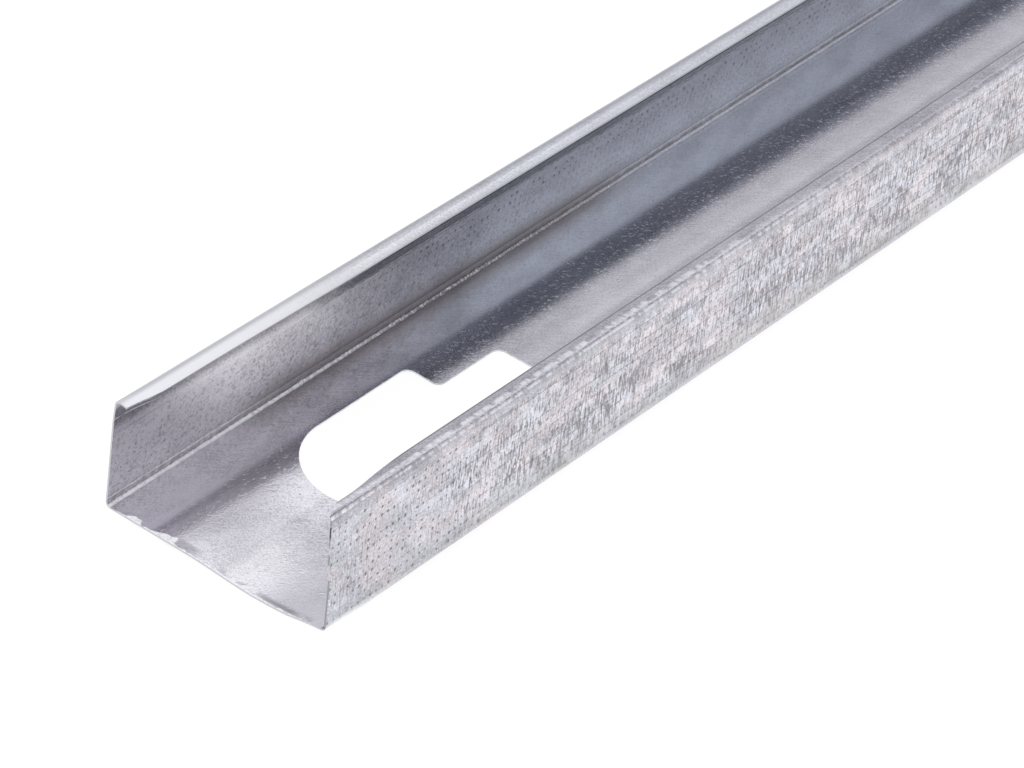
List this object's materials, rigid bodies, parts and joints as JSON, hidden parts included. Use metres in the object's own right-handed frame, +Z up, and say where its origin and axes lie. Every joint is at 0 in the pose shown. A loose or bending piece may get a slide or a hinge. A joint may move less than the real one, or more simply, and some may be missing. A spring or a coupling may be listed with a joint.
{
  "type": "steel stud",
  "caption": "Light-gauge C-shaped steel wall stud: a punched web between two knurled flanges with small return lips, lying on its web",
  "frame": {"origin": "on the floor, under the middle of the stud", "axes": "+X along the stud, away from the cut end that the picture shows; +Y across the web; +Z up, from the web to the lips"},
  "size_m": [2.4384, 0.0634, 0.0318],
  "materials": {
    "galvanised_steel": "satin hot-dip galvanised sheet, smooth web, knurled flanges"
  },
  "bodies": {
    "root": {"steel_stud": "galvanised_steel"}
  },
  "joints": []
}
